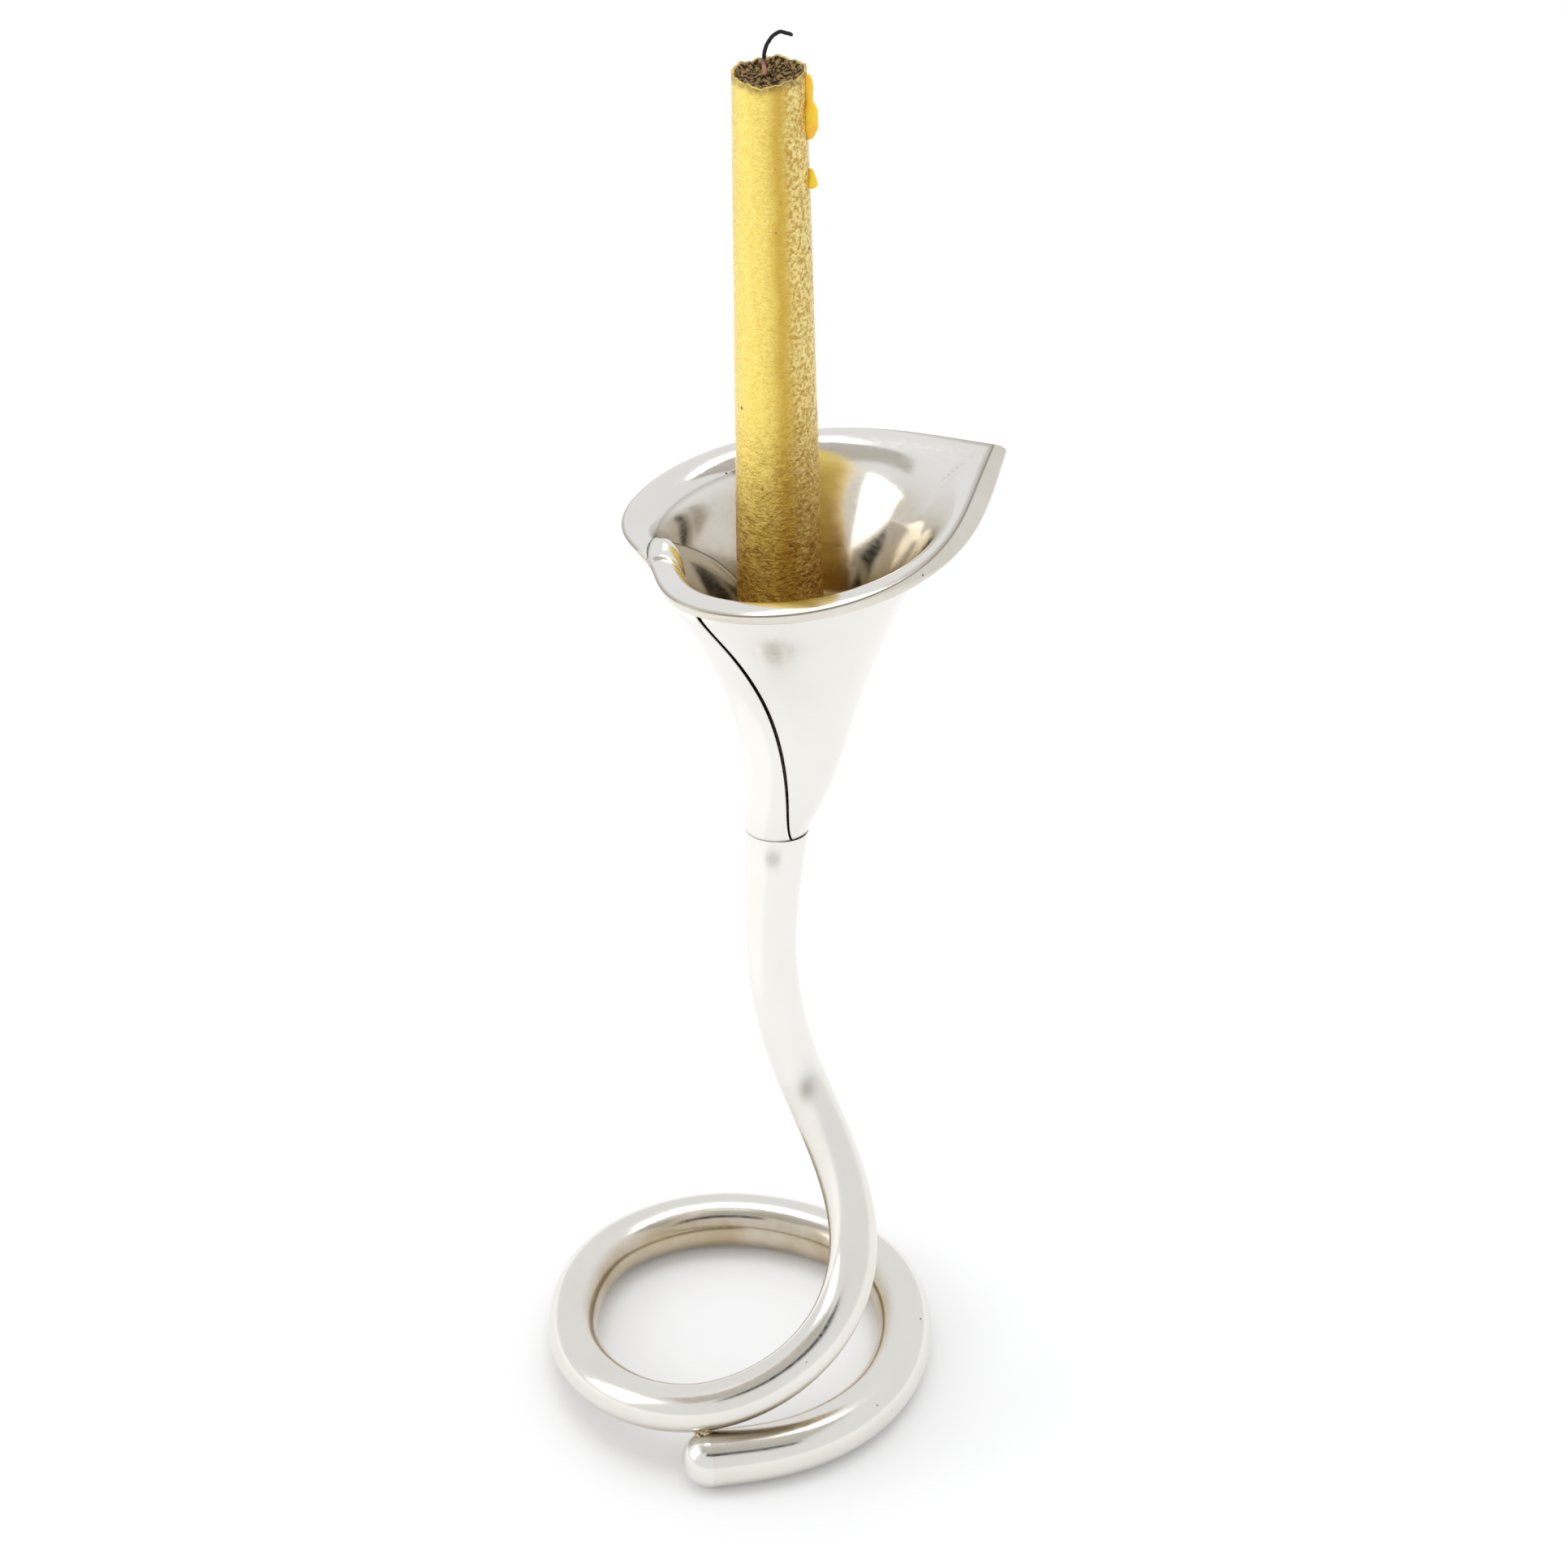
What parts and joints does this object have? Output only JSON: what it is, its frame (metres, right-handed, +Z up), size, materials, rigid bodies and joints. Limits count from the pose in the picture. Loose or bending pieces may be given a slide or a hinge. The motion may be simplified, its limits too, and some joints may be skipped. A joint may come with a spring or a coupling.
{
  "type": "candlestick",
  "caption": "Calla-lily candlestick: a silver tube coiled into a ring foot, bent stem and rolled flower with a turned-out lip, holding a gold taper candle.",
  "frame": {"origin": "middle of the underside of the box round the whole object, on the table", "axes": "+Z up, +X to the right and +Y away as seen from the front, where the coil's domed end shows"},
  "size_m": [0.1208, 0.1142, 0.3749],
  "materials": {
    "silver": "polished silver plate",
    "braze": "dressed braze, slightly yellow",
    "brass": "machined",
    "steel": "plain zinc",
    "gold_wax": "wax with gold glitter",
    "yellow_wax": "set wax",
    "wick": "burnt cotton"
  },
  "bodies": {
    "holder": {"coil_tube": "silver", "coil_end_cap": "silver", "coil_braze": "braze", "stem_spigot": "brass", "stem_braze": "braze", "stem_tube": "silver", "neck_plug": "brass", "throat_washer": "steel", "throat_screw": "steel", "flower_spathe": "silver", "cup_seat": "silver", "candle_cup": "silver", "cup_screw": "steel"},
    "candle": {"candle": "gold_wax", "wick": "wick", "wax_drip_long": "yellow_wax", "wax_drip_short": "yellow_wax"}
  },
  "joints": [
    {"name": "candle_lift", "type": "slide", "parent": "holder", "child": "candle", "axis": [-0.0194, 0.0871, 0.996], "range_m": [0, 0.08]}
  ]
}
